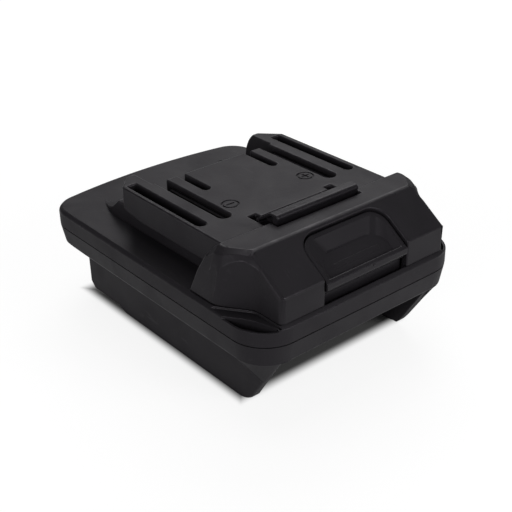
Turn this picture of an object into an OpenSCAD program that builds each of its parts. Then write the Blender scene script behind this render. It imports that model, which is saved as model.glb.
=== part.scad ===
// Tool battery adapter: a slide-on foot that lets one maker's slide-in battery pack
// drive a tool made for another rail pattern. Stands on its two feet, +Z up, the release
// button at the front (-Y), the rails entering the tool at the back (+Y).
// Origin: middle of the plate, on the level the feet stand on.

/* [Plate] */
// Width of the plate across its sides
plate_w = 75; // [72:0.5:80]
// Length of the plate, front face to crown of the back edge
plate_l = 105.3; // [102:0.1:112]
// Corner radius at the front
front_r = 11; // [9:0.5:12]
// Corner radius at the back
back_r = 9; // [7:0.5:12]
// Radius of the bowed back edge
bow_r = 181; // [150:1:260]
// Height of the deck above the feet
deck_h = 30.9; // [29.5:0.1:33]
// Bevel along the deck's edge
deck_bevel = 1; // [0.6:0.1:1.3]
// Height of the upper frame, parting line to deck
frame_h = 5.65; // [5.3:0.05:6.5]
// Height of the lower shell's band
band_h = 6.05; // [5.5:0.05:7]
// Inward lean of the lower band at its bottom edge
band_lean = 1.1; // [0.5:0.1:1.5]
// Wall of the frame and the shell
wall = 2.4; // [2:0.1:2.8]
// Thickness of deck, roof and floor
skin = 2.2; // [1.8:0.1:2.4]
// Width of the shadow lines between mouldings
seam = 0.3; // [0.2:0.05:0.5]
// Depth of the shadow lines
seam_d = 0.8; // [0.5:0.1:1.1]

/* [Feet] */
// Width across the outer faces of the feet
foot_w = 59.9; // [58:0.1:61]
// Thickness of a foot's wall
foot_t = 2.6; // [2.2:0.1:3]
// How far the feet stop short of the plate's back edge
foot_back = 10.45; // [9:0.05:12]
// How far the feet's soles stop short of the plate's front edge
foot_front = 14.55; // [13.5:0.05:17]
// Lift of the feet's raised back stretch
foot_lift = 1.4; // [1:0.1:2]
// Depth of the lip that carries the battery pack
lip_d = 3.4; // [2.8:0.1:3.8]
// Height of the lip's upper face above the floor
lip_h = 4.6; // [4:0.1:5.2]
// Height of the groove over the lip
groove_h = 8; // [7:0.1:8.6]
// Depth of the guide rib above the groove
guide_d = 2; // [1.4:0.1:2.4]

/* [Tool rails] */
// Width over both rails
rail_w = 60.4; // [59:0.1:61.5]
// Width of the neck below the rails
neck_w = 53.6; // [53:0.1:54.2]
// Height of the undercut between deck and rail
under_h = 5.9; // [5.4:0.1:6.4]
// Thickness of the rails
rail_t = 8.5; // [8:0.1:9]
// How far the rails' upper edge reaches to the back of the middle
rail_back = 22.3; // [21:0.1:23]
// Length of the plan bevel at the rails' back corners
rail_bevel = 5; // [4:0.1:5.5]
// Width of the blind slot in each rail
rail_slot_w = 2.85; // [2.2:0.05:3]
// Depth of the blind slot
rail_slot_d = 5.5; // [4:0.1:6]

/* [Contact platform] */
// How far the platform reaches to the back of the middle
platform_back = 13; // [11:0.1:14]
// Distance between the middles of the two contact channels
channel_pitch = 39.15; // [38.6:0.05:39.6]
// Width of a contact channel
channel_w = 3.85; // [3.4:0.05:4]
// Length of a contact channel
channel_l = 31.3; // [29:0.1:32]
// Distance between the middles of the two guide slots
guide_pitch = 25.15; // [24:0.05:26]
// Width of a guide slot
guide_w = 2.4; // [2:0.1:2.8]
// Length of a guide slot
guide_l = 13.6; // [11:0.1:15]
// Radius of the ring round a polarity sign
sign_r = 2.6; // [2:0.1:2.8]
// Stroke of the polarity signs
sign_t = 0.55; // [0.4:0.05:0.7]

/* [Release block] */
// Width of the block at its foot
block_w = 72.6; // [71:0.1:72.8]
// Width of the block between the finger scoops
scoop_w = 60; // [58.5:0.1:60.5]
// Radius of the scoops' hollow
scoop_r = 6; // [4:0.5:8]
// Width of the ledge at the scoops' foot
ledge_w = 2.8; // [2.2:0.1:3.2]
// Step down from the deck to that ledge
ledge_d = 0.6; // [0.3:0.1:0.9]
// Depth of the finger pocket beside the ledge
pocket_d = 3.6; // [2.5:0.1:4]
// Height of the block's upright front
front_h = 7.7; // [7:0.1:8.4]
// Rise of the block's top over the rails
top_rise = 1.7; // [1.4:0.1:2]
// Length of the block's sloped front, measured level
slope_l = 12.25; // [11.5:0.05:12.8]
// Rounding of the scoops' upper edges, measured level
scoop_bevel = 2.9; // [2.2:0.1:3.2]
// Rounding of the block's upper side edges
block_r = 2.4; // [1.5:0.1:3]

/* [Release button] */
// Width of the button's opening
open_w = 30.4; // [29:0.1:31.4]
// Gap round the button and the hook
gap = 0.4; // [0.3:0.05:0.5]
// Travel of the button
travel = 3.8; // [3:0.1:3.9]
// Width of the hook
hook_w = 29.6; // [28:0.1:30]
// Rise of the hook over the platform
hook_h = 4; // [3.5:0.1:4.2]
// Radius of a return spring's curls, to the middle of its wire
spring_r = 2.4; // [2.2:0.05:2.6]
// Wire radius of a return spring
spring_wire = 0.35; // [0.25:0.05:0.4]
// Number of curls
spring_turns = 6; // [5:1:7]

/* [Contacts] */
// Thickness of the tool clips' sheet
clip_t = 0.5; // [0.4:0.05:0.6]
// Gap between a tool clip's leaves
clip_gap = 1; // [0.8:0.05:1.1]
// Distance between the middles of the battery blades
blade_pitch = 20; // [18:0.1:21]
// Thickness of the battery blades
blade_t = 0.8; // [0.6:0.05:1]
// Height of the battery blades
blade_h = 6; // [5:0.1:7]
// Length of the battery blades in front of their holder
blade_l = 14; // [11:0.1:16]
// Radius of the leads' insulation
lead_r = 1.3; // [1:0.05:1.4]

/* [Screws] */
// Radius of the screws' shanks
screw_r = 1.3; // [1:0.05:1.5]
// Radius of the screws' heads
screw_head_r = 2.5; // [2.2:0.05:2.7]
// Height of the screws' heads
screw_head_h = 1.6; // [1.2:0.1:1.8]

/* [Hidden] */
$fn = 64;
tiny = 0.01;
// levels above the floor
z_deck = deck_h;
z_part = z_deck - frame_h;
z_band = z_part - band_h;
z_floor = z_band + skin;
z_under = z_deck + under_h;
z_top = z_under + rail_t;
z_roof = z_top - skin;
z_slope = z_deck + front_h;
z_crest = z_top + top_rise;
z_hook = z_top + hook_h;
// plan lines
y_front = -plate_l / 2;
y_back = plate_l / 2;
x_front_c = plate_w / 2 - front_r;
y_front_c = y_front + front_r;
x_back_c = plate_w / 2 - back_r;
y_bow_c = y_back - bow_r;
y_back_c = y_bow_c + sqrt(pow(bow_r - back_r, 2) - pow(x_back_c, 2));
bow_a = atan2(y_back_c - y_bow_c, x_back_c);
bow_step = (180 - 2 * bow_a) / 20;
y_foot_back = y_back - foot_back;
y_foot_front = y_front + foot_front;
foot_a = 32.2;
y_block = y_front + 0.65;
y_crest = y_block + slope_l;
y_block_top = y_crest + 10.8;
y_block_back = y_block_top + 6.9;
slope_a = atan2(z_crest - z_slope, slope_l);
slope_len = sqrt(pow(z_crest - z_slope, 2) + pow(slope_l, 2));
// the rails' back end: nose and run-out curve
nose_r = 11.2;
nose_y = rail_back - sqrt(nose_r * nose_r - pow(rail_t - 0.2, 2));
nose_z = z_under + 0.2;
run_h = nose_z - z_deck;
run_l = 13;
run_toe = 0.3;
run_r = (run_l * run_l + pow(run_h - run_toe, 2)) / (2 * (run_h - run_toe));
run_y = nose_y + nose_r + run_l;
// scoop: a straight flank at 35.5 degrees running into the block's narrow front
scoop_x = scoop_w / 2;
scoop_y = y_block + 9.9;
scoop_a = 35.4;
corner_r = 8;
corner_d = (block_w / 2 - scoop_x) / sin(scoop_a) - corner_r * tan(scoop_a / 2);
corner_x = block_w / 2 - corner_r;
corner_y = scoop_y + corner_d * cos(scoop_a) + corner_r * sin(scoop_a);
ledge_lip = 0.7;
back_lean = 5.4;
// platform lines
x_channel_in = channel_pitch / 2 - channel_w / 2;
x_channel_out = channel_pitch / 2 + channel_w / 2;
x_prong = x_channel_out + 0.8;
x_boss = (x_prong + neck_w / 2) / 2;
y_channel = platform_back - channel_l;
y_guide = platform_back - guide_l;
rail_slot_x = rail_w / 2 - 1.55 - rail_slot_w / 2;
rail_slot_y = [y_block_back + 4.35, rail_back - 5.7];
sign_y = y_block_back + 9.8;
// inside
cave_x = x_channel_out + 2.7;
cave_back = platform_back - skin;
block_cave_x = scoop_x - 2.6;
block_cave_y = y_front + wall + 0.6;
cave_mid = y_block_back - back_lean - skin;
wide_front = y_block_top - 3;
// release button
y_hook = y_crest + 6.4;
y_ramp = y_block_back - 1.95;
hook_lean = 1.35;
button_w = open_w - 2 * gap;
button_top = slope_len - 1.35 - gap;
open_top = slope_len - 1.35;
button_in = 0.9;
lip_y = y_block - 0.35;
spring_l = 11;
seat_z = z_slope - 2.6;
seat_x = open_w / 2 - 6.2;
rim_t = 1.2;
face_y = y_front + rim_t + gap;
web_y = face_y + 1.3;
web_t = 2.2;
seat_y = web_y + web_t + 4.25;
web_z = z_deck - 1.6;
dish_d = 1.7;
carrier_z = z_roof - 2.6;
post_z = seat_z - spring_l;
// contacts
x_clip = channel_pitch / 2;
holder_z = z_deck + 0.4;
clip_z = holder_z + 2.6;
clip_top = z_roof - 0.5;
clip_w = clip_gap + 2 * clip_t;
clip_clear = 0.1;
clip_y = [y_channel + 1.5, platform_back - skin - 2.6];
holder_front = y_channel - 1.6;
sleeve_t = 0.4;
sleeve_fit = 0.15;
lead_y = holder_front - lead_r - sleeve_fit - sleeve_t - 0.3;
tail_l = clip_y[0] - lead_y + 1.3;
block_face = y_foot_back - 12;
block_back = y_foot_back - 4;
blade_z = 9.5;
slot_fit = 0.1;
tail_y = [block_face + 1.6, block_face + 4.8];
tail_top = z_floor + 4;
lead_z = z_floor + lead_r + sleeve_fit + sleeve_t + 0.1;
lead_end_y = block_face - 1.8;
lead_end_x = blade_pitch / 2 + blade_t / 2;
bend_r = 3;
sense_x = 3.5;
sense_h = 4;
sense_l = 8;
ear_t = 2.4;
block_rim = 4;
block_below = 3;
clamp_t = 0.5;
clamp_l = 5.2;
clamp_y = clip_y[0] + 8.4;
clamp_top = z_roof - 1.9;
// screws: [x, y] on the right-hand side
house_x = plate_w / 2 - 4.5;
house_screws = [[house_x, y_back - 22.65], [house_x, y_front + 32.65]];
block_screws = [[block_w / 2 - 4.3, y_block_top + 0.45], [x_boss, rail_back - 4.1]];
holder_screws = [[blade_pitch / 2 + 9.5, (block_face + block_back) / 2]];
boss_r = screw_r + 1.7;
screw_fit = 0.1;
boss_z = z_part + screw_head_h + 0.5;

// Points along an arc of radius r about (x, y), from the angle a0 to a1 in n steps.
function arc(x, y, r, a0, a1, n) = [for (i = [0 : n]) let (a = a0 + (a1 - a0) * i / n)
    [x + r * cos(a), y + r * sin(a)]];

// Outline of the plate drawn in by d: front corner, back corner, bowed back edge and back again.
function plate_points(d) = concat(
    arc(x_front_c, y_front_c, front_r - d, -90, 0, 16),
    arc(x_back_c, y_back_c, back_r - d, 0, bow_a, 14),
    arc(0, y_bow_c, bow_r - d, bow_a + bow_step, 180 - bow_a - bow_step, 18),
    arc(-x_back_c, y_back_c, back_r - d, 180 - bow_a, 180, 14),
    arc(-x_front_c, y_front_c, front_r - d, 180, 270, 16));

// Plate body of height h with upright edges, drawn in from the outer edge by d.
module slab(h, d) {
    linear_extrude(h)
        polygon(plate_points(d));
}

// Plate body of height h with leaning edges: drawn in by d0 at its foot and by d1 at its top.
module leaning_slab(h, d0, d1) {
    foot = [for (p = plate_points(d0)) [p[0], p[1], 0]];
    top = [for (p = plate_points(d1)) [p[0], p[1], h]];
    n = len(foot);
    sides = [for (i = [0 : n - 1]) [i, n + i, n + (i + 1) % n, (i + 1) % n]];
    ends = [[for (i = [0 : n - 1]) i], [for (i = [1 : n]) 2 * n - i]];
    polyhedron(concat(foot, top), concat(ends, sides), 4);
}

// Rectangle between two corners, standing from z0 to z1.
module slot_box(x0, x1, y0, y1, z0, z1) {
    translate([x0, y0, z0])
        cube([x1 - x0, y1 - y0, z1 - z0]);
}

// Both hands of a feature drawn on the right.
module both() {
    children();
    mirror([1, 0, 0])
        children();
}

// Side view (y, z) swept across the width from x0 to x1.
module across(x0, x1) {
    translate([x0, 0, 0])
        rotate([90, 0, 90])
            linear_extrude(x1 - x0)
                children();
}

// Plan of the finger scoop on the right.
module scoop_shape() {
    t = scoop_r * tan(scoop_a / 2);
    union() {
        polygon([[scoop_x, y_front - 8], [scoop_x, scoop_y - t],
            [scoop_x + t * sin(scoop_a), scoop_y + t * cos(scoop_a)],
            [scoop_x + 24 * sin(scoop_a), scoop_y + 24 * cos(scoop_a)], [scoop_x + 30, y_front - 8]]);
        translate([scoop_x + scoop_r, scoop_y - t])
            circle(r = scoop_r);
    }
}

// Upper frame: deck, outer band, finger pockets and the boxes for the screws.
module deck_frame() color("#2b2b2d") {
    difference() {
        difference() {
            intersection() {
                translate([0, 0, z_part])
                    slab(frame_h + 1, 0);
                translate([0, 0, z_part - 1])
                    leaning_slab(frame_h + 1, deck_bevel - frame_h - 1, deck_bevel);
            }
            translate([0, 0, z_part - tiny])
                difference() {
                    slab(seam / 2 + tiny, -2);
                    translate([0, 0, -1])
                        slab(seam + 2, seam_d);
                }
        }
        difference() {
            intersection() {
                translate([0, 0, z_part - 1])
                    slab(frame_h + 1 - skin, wall);
                union() {
                    slot_box(-plate_w, plate_w, wide_front, plate_l, 0, z_deck);
                    slot_box(-block_cave_x, block_cave_x, block_cave_y, wide_front + tiny, 0, z_deck);
                }
            }
            both() {
                for (p = house_screws)
                    translate([p[0], p[1], z_part - 1])
                        cylinder(h = frame_h, r = boss_r);
                for (p = block_screws)
                    translate([p[0], p[1], boss_z])
                        cylinder(h = frame_h, r = boss_r);
            }
        }
        slot_box(-cave_x, cave_x, cave_mid - tiny, cave_back, z_part - 1, z_deck + 1);
        slot_box(-block_cave_x, block_cave_x, block_cave_y, cave_mid, z_part - 1, z_deck + 1);
        slot_box(-open_w / 2, open_w / 2, y_front + rim_t, block_cave_y + 1, z_part - 1, z_deck + 1);
        both() {
            finger_pocket();
            for (p = house_screws)
                translate([p[0], p[1], z_part - 1])
                    cylinder(h = frame_h, r = screw_r + screw_fit);
            for (p = block_screws) {
                translate([p[0], p[1], z_part - 1])
                    cylinder(h = frame_h + 2, r = screw_r + screw_fit);
                translate([p[0], p[1], z_part - 1])
                    cylinder(h = boss_z - z_part + 1, r = screw_head_r + 0.3);
            }
        }
    }
}

// Finger pocket at a front corner: a low ledge along the scoop, then a well behind a thin lip.
module finger_pocket() {
    well = pocket_shape_points();
    translate([0, 0, z_deck - ledge_d])
        linear_extrude(ledge_d + 1)
            scoop_shape();
    translate([0, 0, z_deck - deck_bevel - ledge_lip / 2])
        linear_extrude(deck_bevel + 2)
            polygon(well);
    intersection() {
        translate([0, 0, z_deck - pocket_d])
            linear_extrude(pocket_d + 1)
                polygon(well);
        translate([0, 0, z_deck - pocket_d - 1])
            slab(pocket_d + 3, ledge_lip);
    }
}

// Plan of the well: it runs along the ledge and closes on the scoop's front end.
function pocket_shape_points() = [[scoop_x + 0.6, y_front - 4], [scoop_x + 0.6, y_front + 1.6],
    [scoop_x + ledge_w - 0.2, scoop_y - 2.8],
    [scoop_x + ledge_w + 0.4, scoop_y - 1.2],
    [scoop_x + ledge_w * 1.15 + 12 * sin(scoop_a), scoop_y - 0.6 + 12 * cos(scoop_a)],
    [scoop_x + 24, y_front - 4]];

// Side view of the rails and their run-out to the deck.
module rail_side() {
    union() {
        translate([y_block_top, z_deck])
            square([nose_y - y_block_top, z_top - z_deck]);
        translate([nose_y - tiny, z_deck])
            square([nose_r + tiny, run_h]);
        intersection() {
            translate([nose_y, nose_z])
                circle(r = nose_r);
            translate([nose_y - tiny, nose_z - tiny])
                square([nose_r + 1, z_top - nose_z + tiny]);
        }
        difference() {
            translate([nose_y + nose_r - tiny, z_deck])
                square([run_l, run_h]);
            translate([run_y, z_deck + run_toe + run_r])
                circle(r = run_r, $fn = 120);
        }
    }
}

// Front view of the rails: a broad T.
module rail_front() {
    polygon([[-neck_w / 2, z_deck], [neck_w / 2, z_deck], [neck_w / 2, z_under], [rail_w / 2, z_under],
        [rail_w / 2, z_top], [-rail_w / 2, z_top], [-rail_w / 2, z_under], [-neck_w / 2, z_under]]);
}

// Side view of the release block: leaning back, rising top, sloped and upright front.
module block_side() {
    polygon([[y_block_back, z_deck], [y_block_back - back_lean, z_top - 2.2], [y_block_top, z_top],
        [y_block_top - 2.25, z_crest], [y_crest, z_crest], [y_block, z_slope], [y_block, z_deck]]);
}

// Front view of the release block: leaning sides, rounded upper edges.
module block_front() {
    w0 = block_w / 2;
    w1 = w0 - 0.9;
    union() {
        polygon([[-w0, z_deck], [w0, z_deck], [w1, z_crest - block_r], [-w1, z_crest - block_r]]);
        for (s = [-1, 1])
            translate([s * (w1 - block_r), z_crest - block_r])
                circle(r = block_r);
        translate([-w1 + block_r, z_crest - block_r - tiny])
            square([2 * (w1 - block_r), block_r + tiny]);
    }
}

// Plan of the release block with its two scoops.
module block_plan() {
    r = 1.6;
    difference() {
        union() {
            translate([-block_w, y_crest - 6])
                square([2 * block_w, 60]);
            translate([-scoop_x - 20, y_block + r])
                square([2 * scoop_x + 40, 30]);
            translate([-scoop_x + r, y_block])
                square([2 * (scoop_x - r), 30]);
            for (s = [-1, 1])
                translate([s * (scoop_x - r), y_block + r])
                    circle(r = r);
        }
        for (m = [0, 1])
            mirror([m, 0]) {
                scoop_shape();
                scoop_corner();
            }
    }
}

// Button outline in the plane of the sloped front, rounded at the top.
module button_shape(w, top, r) {
    union() {
        translate([-w / 2, -9])
            square([w, top - r + 9]);
        translate([-w / 2 + r, 0])
            square([w - 2 * r, top]);
        for (s = [-1, 1])
            translate([s * (w / 2 - r), top - r])
                circle(r = r);
    }
}

// Carries children from the flat into the plane of the sloped front.
module on_slope() {
    translate([0, y_block, z_slope])
        rotate([slope_a, 0, 0])
            children();
}

// Circled sign sunk into the platform; upright adds the second stroke.
module polarity_sign(upright) {
    translate([0, 0, z_top - 0.35]) {
        difference() {
            cylinder(h = 1, r = sign_r);
            translate([0, 0, -1])
                cylinder(h = 3, r = sign_r - sign_t);
        }
        slot_box(-sign_r * 0.55, sign_r * 0.55, -sign_t / 2, sign_t / 2, 0, 1);
        if (upright)
            slot_box(-sign_t / 2, sign_t / 2, -sign_r * 0.55, sign_r * 0.55, 0, 1);
    }
}

// Rail block: rails, contact platform and release block in one moulding, hollow below.
module rail_block() color("#262628") {
    difference() {
        union() {
            intersection() {
                translate([0, run_y + 1, 0])
                    rotate([90, 0, 0])
                        linear_extrude(run_y + 1 - y_block_top)
                            rail_front();
                across(-rail_w, rail_w)
                    rail_side();
            }
            intersection() {
                across(-block_w, block_w)
                    block_side();
                translate([0, y_block_back + 1, 0])
                    rotate([90, 0, 0])
                        linear_extrude(y_block_back + 2 - y_block)
                            block_front();
                translate([0, 0, z_deck])
                    linear_extrude(z_crest)
                        block_plan();
            }
        }
        rail_cuts();
        platform_cuts();
        block_cuts();
    }
}

// Cuts in the rails: open space behind the platform, bevels, lead-in below, blind slots.
module rail_cuts() {
    slot_box(-x_prong, x_prong, platform_back, run_y + 2, z_deck - 1, z_top + 1);
    both() {
        translate([0, 0, z_under - tiny])
            linear_extrude(rail_t + 1)
                polygon([[rail_w / 2 + 1, rail_back - rail_bevel - 1.1], [rail_w / 2 + 1, rail_back + 8],
                    [rail_w / 2 - rail_bevel - 3, rail_back + 8],
                    [rail_w / 2 - rail_bevel, rail_back + 0.25]]);
        difference() {
            slot_box(neck_w / 2 - 12, rail_w, nose_y + nose_r + 1, run_y + 2, z_deck - tiny, nose_z);
            translate([neck_w / 2 - run_l * 1.8, nose_y + nose_r + 1, z_deck - 1])
                cylinder(h = run_h + 2, r = run_l * 1.8, $fn = 120);
        }
        across(neck_w / 2, rail_w)
            polygon([[rail_back - 14, z_under - tiny], [rail_back + 9, z_under - tiny],
                [rail_back + 9, z_under + 1.2], [rail_back - 5, z_under + 1.2]]);
        round_slot(rail_slot_x, rail_slot_w, rail_slot_y[0], rail_slot_y[1], z_top - rail_slot_d);
    }
}

// Slot with a rounded front end, open to the top.
module round_slot(x, w, y0, y1, z) {
    slot_box(x - w / 2, x + w / 2, y0 + w / 2, y1, z, z_top + 1);
    translate([x, y0 + w / 2, z])
        cylinder(h = z_top + 1 - z, r = w / 2);
}

// Cuts in the platform: channels, guide slots, signs and the space for the contacts.
module platform_cuts() {
    both() {
        round_slot(x_clip, channel_w, y_channel, platform_back + 1, clip_z);
        round_slot(guide_pitch / 2, guide_w, y_guide, platform_back + 1, z_roof - 2.4);
    }
    translate([-x_clip + 5.6, sign_y, 0])
        polarity_sign(false);
    translate([x_clip - 5.6, sign_y, 0])
        polarity_sign(true);
    slot_box(-cave_x, cave_x, cave_mid - tiny, cave_back, z_deck - 1, z_roof);
    both()
        for (p = block_screws)
            translate([p[0], p[1], z_deck - 1])
                cylinder(h = 6.2, r = screw_r + screw_fit);
}

// Cuts in the release block: hollow, button opening, hook opening, shadow line at the foot.
module block_cuts() {
    across(-block_cave_x, block_cave_x)
        polygon([[block_cave_y, z_deck - 1], [block_cave_y, z_slope - 1.6], [y_crest - 0.6, z_roof],
            [cave_mid, z_roof], [cave_mid, z_deck - 1]]);
    on_slope()
        translate([0, 0, -9])
            linear_extrude(12)
                button_shape(open_w, open_top, 5.6);
    slot_box(-open_w / 2, open_w / 2, y_front - 3, block_cave_y + 1, z_deck - 1, z_slope + 0.4);
    slot_box(-hook_w / 2 - gap, hook_w / 2 + gap, y_hook - gap, y_ramp + gap / 2, z_roof - 1, z_hook + 2);
    both()
        slot_box(hook_w / 2 + gap - 2.6, hook_w / 2 + gap, y_ramp - 1, y_ramp + 2.4, z_roof - 1, z_hook + 2);
    both()
        rolled_edge();
    difference() {
        slot_box(-block_w, block_w, y_front - 2, y_block_back + 2, z_deck - tiny, z_deck + seam);
        translate([0, 0, z_deck - 1])
            linear_extrude(3)
                seam_core();
        slot_box(-neck_w / 2, neck_w / 2, y_block_back - 8, y_block_back + 6, z_deck - 1, z_deck + 3);
    }
}

// Height of the block's top over a line across it: sloped front, level, then down to the rails.
function block_top_z(y) = min(z_crest, z_slope + (y - y_block) * tan(slope_a),
    max(z_top - 0.5, z_top + (y_block_top - y) * top_rise / 2.25));

// Walk along the right scoop's wall and round its back corner: place, direction, depth and width
// of the rolled edge there.
function scoop_walk() = let (t = scoop_r * tan(scoop_a / 2), k = 8, w = scoop_bevel) concat(
    [for (y = [y_front - 3, y_block + 1, y_block + 4]) [scoop_x, y, 0, 1.3, w * 0.4]],
    [for (i = [0 : k]) let (a = scoop_a * i / k, u = i / k)
        [scoop_x + scoop_r * (1 - cos(a)), scoop_y - t + scoop_r * sin(a), a,
            1.2 + 0.5 * u, w * (0.4 + 0.6 * u)]],
    [for (i = [1 : 5]) let (d = t + (corner_d - t) * i / 6)
        [scoop_x + d * sin(scoop_a), scoop_y + d * cos(scoop_a), scoop_a, 1.7 + 0.004 * pow(d, 3), w]],
    [for (i = [0 : 6]) let (a = scoop_a * (1 - i / 6), u = i / 6)
        [corner_x + (corner_r - 0.8 * u) * cos(a), corner_y - (corner_r - 0.8 * u) * sin(a), a,
            1.7 + 0.004 * pow(corner_d, 3) + 1.6 * u, w]],
    [for (y = [corner_y + 2, corner_y + 8]) [corner_x + corner_r - 0.8, y, 0,
        3.3 + 0.004 * pow(corner_d, 3), w]]);

// Profile of the rolled edge at one place of that walk: level measure inwards, height over the top.
function roll_profile(h, w) = [[-0.35, -h - 0.65 * h / w], [0.35 * w, -0.35 * h], [1.3 * w, 0.16 * h]];

// What is cut off the right scoop's upper edge: the profile carried along the wall, open above.
module rolled_edge() {
    n = 6;
    high = z_crest + 6;
    rows = [for (q = scoop_walk()) let (inward = [-cos(q[2]), sin(q[2])], f = roll_profile(q[3], q[4]))
        concat([for (e = f) let (y = q[1] + e[0] * inward[1])
            [q[0] + e[0] * inward[0], y, block_top_z(y) + e[1]]],
            [[q[0] + f[2][0] * inward[0], q[1] + f[2][0] * inward[1], high],
                [q[0] - 3 * inward[0], q[1] - 3 * inward[1], high],
                [q[0] - 3 * inward[0], q[1] - 3 * inward[1], block_top_z(q[1]) + f[0][1] - 0.5]])];
    m = len(rows);
    sides = [for (i = [0 : m - 2], j = [0 : n - 1]) let (a = i * n + j, b = i * n + (j + 1) % n)
        each [[a + n, b + n, b], [a + n, b, a]]];
    last = m * n - n;
    ends = [for (i = [0 : n - 3]) let (a = (i + 5) % n, b = (i + 6) % n)
        each [[4, a, b], [last + 4, last + b, last + a]]];
    polyhedron([for (r = rows) each r], concat(sides, ends));
}

// Plan of what is cut off the corner where the right scoop runs out on the block's side.
module scoop_corner() {
    round_r = corner_r + 0.02;
    polygon(concat([for (i = [0 : 6]) let (a = scoop_a * (1 - i / 6))
        [corner_x + round_r * cos(a), corner_y - round_r * sin(a)]],
        [[corner_x + corner_r + 5, corner_y], [corner_x + corner_r + 5, corner_y - 14]]));
}

// What the block keeps standing on behind its shadow line.
module seam_core() {
    difference() {
        translate([-block_w / 2 + seam_d, y_block + seam_d])
            square([block_w - 2 * seam_d, y_block_back - y_block - 2 * seam_d]);
        translate([-seam_d, 0])
            scoop_shape();
        mirror([1, 0])
            translate([-seam_d, 0])
                scoop_shape();
    }
}

// Side view of a foot: raised back stretch, flat sole, front end slanting forward as it rises.
module foot_side() {
    r = 8;
    t = r * tan(45 - foot_a / 2);
    foot_top = z_band + 0.6;
    top_y = y_foot_front - z_band * tan(foot_a);
    nose = [for (i = [0 : 8]) let (a = (90 - foot_a) * i / 8)
        [y_foot_front + t - r * sin(a), r - r * cos(a)]];
    polygon(concat([[y_foot_back, foot_top], [y_foot_back, foot_lift + 2], [y_foot_back - 2, foot_lift],
        [y_foot_back - 16, foot_lift], [y_foot_back - 19.6, 0]], nose, [[top_y, z_band], [top_y, foot_top]]));
}

// Lower shell: band, floor, feet with their lips, back wall and the posts inside.
module lower_shell() color("#29292b") {
    difference() {
        union() {
            difference() {
                translate([0, 0, z_band])
                    leaning_slab(band_h, band_lean, 0);
                translate([0, 0, z_part - seam / 2])
                    difference() {
                        slab(seam, -2);
                        translate([0, 0, -1])
                            slab(seam + 2, seam_d);
                    }
                difference() {
                    translate([0, 0, z_floor])
                        slab(band_h, wall + 0.6);
                    both()
                        for (p = house_screws)
                            translate([p[0], p[1], 0])
                                cylinder(h = z_part, r = boss_r);
                }
            }
            both() {
                foot();
                chin();
            }
            slot_box(-foot_w / 2 + 1, foot_w / 2 - 1, y_foot_back - 4, y_foot_back - 1.2,
                foot_lift + 2.4, z_floor);
            inner_posts();
        }
        both()
            for (p = house_screws) {
                translate([p[0], p[1], 0])
                    cylinder(h = z_part + 1, r = screw_r + screw_fit);
                translate([p[0], p[1], 0])
                    cylinder(h = z_band + screw_head_h, r = screw_head_r + 0.3);
            }
        both()
            for (p = holder_screws)
                translate([p[0], p[1], z_band - 1])
                    cylinder(h = skin + 4.2, r = screw_r + screw_fit);
        both()
            slot_box(blade_pitch / 2 - 1, blade_pitch / 2 + 1, tail_y[0] - 0.4, tail_y[1] + 0.4,
                z_band - 1, z_floor + 1);
        slot_box(-9, 9, y_front + 13, y_front + 20, z_band - 1, z_floor + 0.4);
    }
}

// One foot with its lip, guide rib and lead-in.
module foot() {
    difference() {
        union() {
            across(foot_w / 2 - foot_t, foot_w / 2)
                foot_side();
            intersection() {
                across(foot_w / 2 - foot_t - lip_d, foot_w / 2 - 1)
                    foot_side();
                slot_box(0, foot_w, y_foot_front - 3, y_foot_back - 3, 0, lip_h);
            }
            intersection() {
                across(foot_w / 2 - foot_t - guide_d, foot_w / 2 - 1)
                    foot_side();
                slot_box(0, foot_w, y_front + 10, y_foot_back - 3, lip_h + groove_h, z_floor);
            }
        }
        across(foot_w / 2 - foot_t - lip_d - 1, foot_w / 2 - 1)
            polygon([[y_foot_front - 20, -1], [y_foot_back + 1, -1], [y_foot_back + 1, foot_lift + 0.2],
                [y_foot_front - 20, foot_lift + 0.2]]);
        translate([0, 0, -1])
            linear_extrude(lip_h + 2)
                polygon([[foot_w / 2 - foot_t - lip_d - 1, y_foot_front + 14],
                    [foot_w / 2 - foot_t, y_foot_front + 10], [foot_w / 2 - foot_t, y_foot_front - 8],
                    [foot_w / 2 - foot_t - lip_d - 1, y_foot_front - 8]]);
    }
}

// Chin under a front corner of the band, drawn together to the foot's front edge.
module chin() {
    intersection() {
        hull() {
            translate([x_front_c, y_front_c, z_band])
                cylinder(h = 0.4, r = front_r - band_lean - 0.1, $fn = 32);
            translate([foot_w / 2 - 1, y_foot_front - z_band * 0.5 * tan(foot_a), z_band * 0.5])
                cube([1, 0.4, 0.4]);
        }
        slot_box(foot_w / 2 - 1, plate_w, y_front, 0, 0, z_floor);
    }
}

// Posts inside the lower shell: two spring posts, four props under the contact holder, catch box.
module inner_posts() {
    both() {
        translate([seat_x, seat_y, z_floor - tiny])
            cylinder(h = post_z - z_floor + tiny, r = spring_r + 1.2);
        translate([seat_x, seat_y, post_z - tiny])
            cylinder(h = 2.4, r = spring_r - spring_wire - 0.4);
        for (y = [cave_back - 3, y_channel + 5])
            translate([x_clip - 6, y, z_floor - tiny])
                cylinder(h = holder_z - z_floor + tiny, r = 2.2);
        for (p = holder_screws)
            translate([p[0], p[1], z_floor - tiny])
                cylinder(h = 4.2, r = boss_r);
    }
    slot_box(-10.6, 10.6, y_front + 11.4, y_front + 21.6, z_floor - tiny, z_floor + 2);
}

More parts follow.
